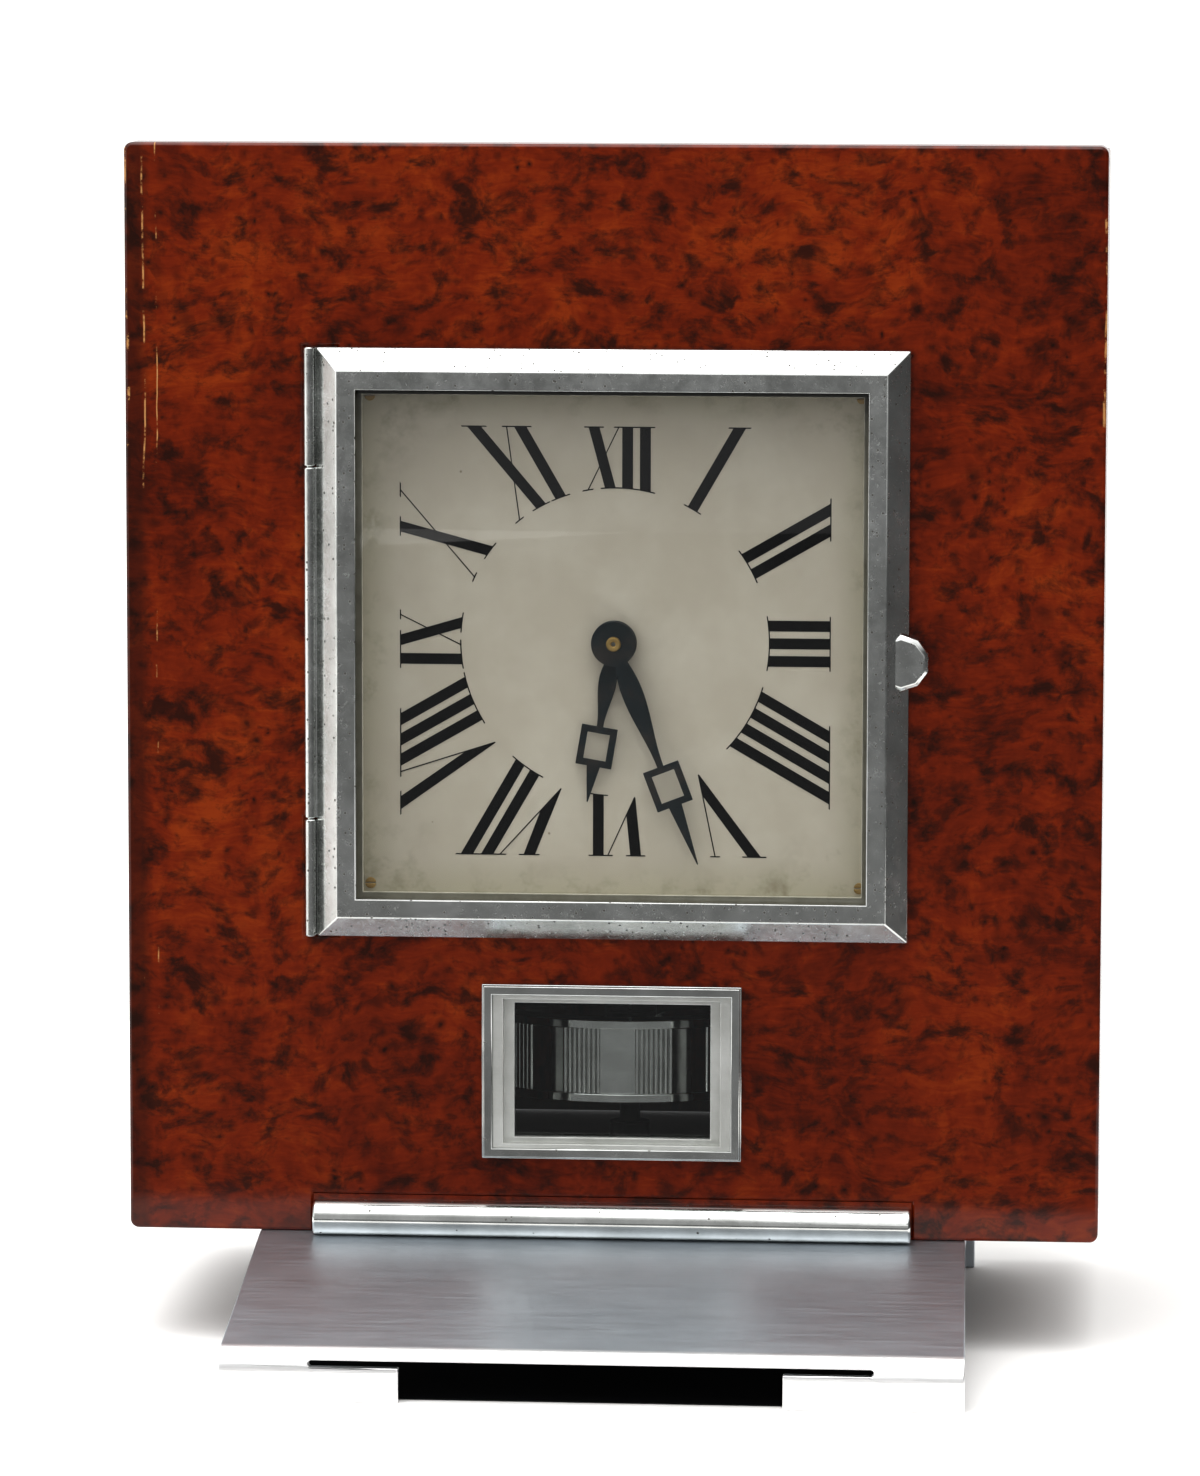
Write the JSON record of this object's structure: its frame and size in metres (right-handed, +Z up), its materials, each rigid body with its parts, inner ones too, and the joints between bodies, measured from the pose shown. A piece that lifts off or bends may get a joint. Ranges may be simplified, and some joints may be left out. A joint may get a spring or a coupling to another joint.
{
  "type": "mantel clock",
  "caption": "Square burl-veneered mantel clock on a bent chrome stand, with a glazed chrome dial door and a window onto its torsion pendulum.",
  "frame": {"origin": "on the table, under the middle of the whole clock's outer box", "axes": "+X to the right seen from the front, +Y from the dial to the back, +Z up"},
  "size_m": [0.23, 0.191, 0.285],
  "materials": {
    "chrome_sheet": "polished",
    "chrome_trim": "satin, slightly pitted",
    "burl_veneer": "glossy lacquer",
    "dark_board": "satin lacquer",
    "glass": "clear",
    "dial": "aged matt",
    "black_paint": "matt",
    "blued_steel": "oxidised",
    "steel": "fine",
    "brass": "satin",
    "polished_brass": "polished",
    "aluminium_trim": "satin"
  },
  "bodies": {
    "clock": {"stand_plate": "chrome_sheet", "stand_bar": "chrome_sheet", "stand_screws": "steel", "front_panel": "burl_veneer", "side_left": "burl_veneer", "side_right": "burl_veneer", "case_top": "burl_veneer", "case_bottom": "dark_board", "door_seat": "chrome_trim", "hinge_leaf": "chrome_trim", "hinge_pin": "steel", "window_frame": "chrome_trim", "window_liner": "aluminium_trim", "window_glass": "glass", "window_retainer": "black_paint", "dial_plate": "dial", "dial_numerals": "black_paint", "dial_screws": "steel", "dial_feet": "brass", "minute_stud": "steel", "front_plate": "brass", "back_plate": "brass", "plate_pillars": "brass", "mount_posts": "steel", "click": "steel", "motor_bridge": "brass", "bridge_pillars": "brass", "head_bracket": "brass", "suspension_post": "steel", "lock_guide": "brass", "rear_hinge": "brass", "rear_pin": "steel"},
    "front_door": {"door_frame": "chrome_trim", "door_glass": "glass", "door_retainer": "brass", "door_grip": "chrome_trim"},
    "back_door": {"rear_door": "dark_board", "rear_pull": "brass"},
    "minute_train": {"minute_hand": "blued_steel", "minute_collet": "polished_brass", "cannon_pinion": "steel", "centre_arbor": "steel", "centre_wheel": "brass"},
    "hour_train": {"hour_hand": "blued_steel", "hour_wheel": "brass"},
    "transfer_wheel": {"minute_wheel": "brass"},
    "mainspring_barrel": {"barrel": "brass", "barrel_cover": "brass"},
    "escapement": {"escape_wheel": "polished_brass"},
    "anchor": {"pallet_fork": "steel"},
    "torsion_pendulum": {"pendulum_ring": "polished_brass", "pendulum_hub": "brass", "suspension_wire": "steel", "impulse_roller": "polished_brass"},
    "winding_motor": {"motor_arbor": "steel", "ratchet_wheel": "steel", "motor_drum": "polished_brass", "motor_cover": "polished_brass", "motor_tube": "glass"},
    "pendulum_lock": {"lock_plunger": "steel"}
  },
  "joints": [
    {"name": "front_door_hinge", "type": "hinge", "parent": "clock", "child": "front_door", "pos_m": [-0.0713, -0.0311, 0.16774], "axis": [0, 0, -1], "range_deg": [0, 110]},
    {"name": "back_door_hinge", "type": "hinge", "parent": "clock", "child": "back_door", "pos_m": [0.1047, 0.0888, 0.16774], "axis": [0, 0, -1], "range_deg": [0, 100]},
    {"name": "minute_turn", "type": "hinge", "parent": "clock", "child": "minute_train", "pos_m": [0, -0.0295, 0.16774], "axis": [0, 1, 0], "continuous": true},
    {"name": "hour_turn", "type": "hinge", "parent": "clock", "child": "hour_train", "pos_m": [0, -0.0295, 0.16774], "axis": [0, 1, 0], "continuous": true},
    {"name": "transfer_turn", "type": "hinge", "parent": "clock", "child": "transfer_wheel", "pos_m": [0.01039, -0.0295, 0.16174], "axis": [0, 1, 0], "continuous": true},
    {"name": "barrel_turn", "type": "hinge", "parent": "clock", "child": "mainspring_barrel", "pos_m": [-0.02202, -0.0295, 0.157], "axis": [0, 1, 0], "continuous": true},
    {"name": "escape_turn", "type": "hinge", "parent": "clock", "child": "escapement", "pos_m": [0.01559, -0.0295, 0.17674], "axis": [0, 1, 0], "continuous": true},
    {"name": "pendulum_swing", "type": "hinge", "parent": "clock", "child": "torsion_pendulum", "pos_m": [0, 0.0315, 0.0657], "axis": [0, 0, 1], "range_deg": [-300, 300], "stiffness_Nm_per_rad": 0.000007},
    {"name": "anchor_rock", "type": "hinge", "parent": "clock", "child": "anchor", "pos_m": [0.01559, -0.0295, 0.19074], "axis": [0, 1, 0], "range_deg": [-3, 3]},
    {"name": "motor_rock", "type": "hinge", "parent": "clock", "child": "winding_motor", "pos_m": [-0.02202, -0.0295, 0.157], "axis": [0, 1, 0], "range_deg": [-30, 30]},
    {"name": "lock_lift", "type": "slide", "parent": "clock", "child": "pendulum_lock", "axis": [0, 0, 1], "range_m": [0, 0.004]}
  ],
  "couplings": [
    {"joint": "hour_turn", "follows": "minute_turn", "ratio": 0.083333},
    {"joint": "transfer_turn", "follows": "minute_turn", "ratio": -0.33333},
    {"joint": "barrel_turn", "follows": "minute_turn", "ratio": -0.16667},
    {"joint": "escape_turn", "follows": "minute_turn", "ratio": -4},
    {"joint": "anchor_rock", "follows": "pendulum_swing", "ratio": 0.01}
  ]
}
